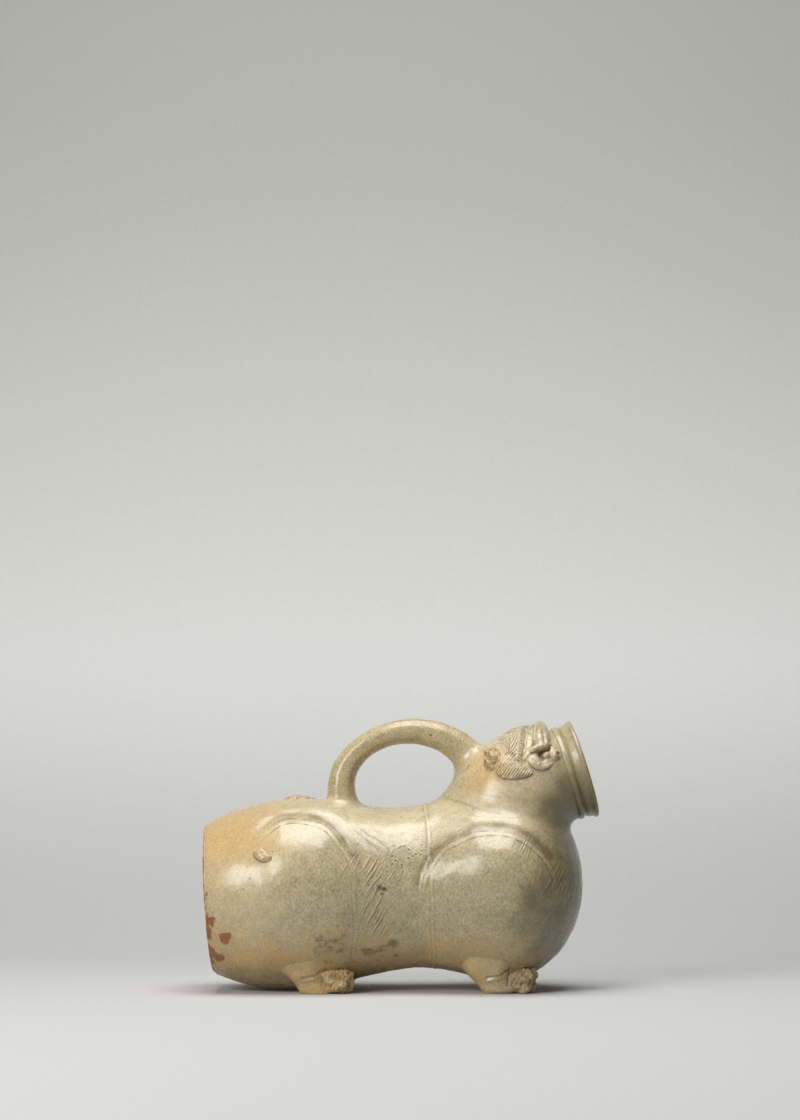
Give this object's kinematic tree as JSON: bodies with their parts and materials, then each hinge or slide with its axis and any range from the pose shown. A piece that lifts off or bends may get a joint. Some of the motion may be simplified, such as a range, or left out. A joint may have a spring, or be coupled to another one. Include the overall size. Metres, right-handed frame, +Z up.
{
  "type": "tiger-shaped vessel",
  "caption": "Glazed stoneware vessel in the form of a crouching tiger: hollow waisted barrel body, upturned round mouth at the head, arched handle along the back and squat paws to stand on.",
  "frame": {"origin": "on the table, under the middle of the vessel's length and between its feet", "axes": "+Z up, +X from the flat base towards the tiger's mouth, +Y towards the tiger's left"},
  "size_m": [0.2412, 0.1178, 0.1656],
  "materials": {
    "buff_glaze": "thin semi-gloss buff ash glaze with olive mottling",
    "olive_glaze": "semi-gloss olive green ash glaze with fine speckle",
    "gritty_glaze": "worn, gritty glaze over scored clay",
    "bare_clay": "unglazed red-brown fired clay"
  },
  "bodies": {
    "root": {"base_disc": "bare_clay", "chest_bulb": "olive_glaze", "forehead_pad": "buff_glaze", "front_left_leg": "buff_glaze", "front_left_paw": "gritty_glaze", "front_right_leg": "buff_glaze", "front_right_paw": "gritty_glaze", "handle": "buff_glaze", "left_brow": "buff_glaze", "left_ear": "buff_glaze", "left_eye": "buff_glaze", "left_lip": "buff_glaze", "left_nostril": "buff_glaze", "left_ruff": "buff_glaze", "mouth_rim": "olive_glaze", "neck": "olive_glaze", "nose": "buff_glaze", "rear_barrel": "buff_glaze", "rear_left_leg": "buff_glaze", "rear_left_paw": "gritty_glaze", "rear_right_leg": "buff_glaze", "rear_right_paw": "gritty_glaze", "right_brow": "buff_glaze", "right_ear": "buff_glaze", "right_eye": "buff_glaze", "right_lip": "buff_glaze", "right_nostril": "buff_glaze", "right_ruff": "buff_glaze", "tail_root": "buff_glaze", "tail_tip": "buff_glaze"}
  },
  "joints": []
}
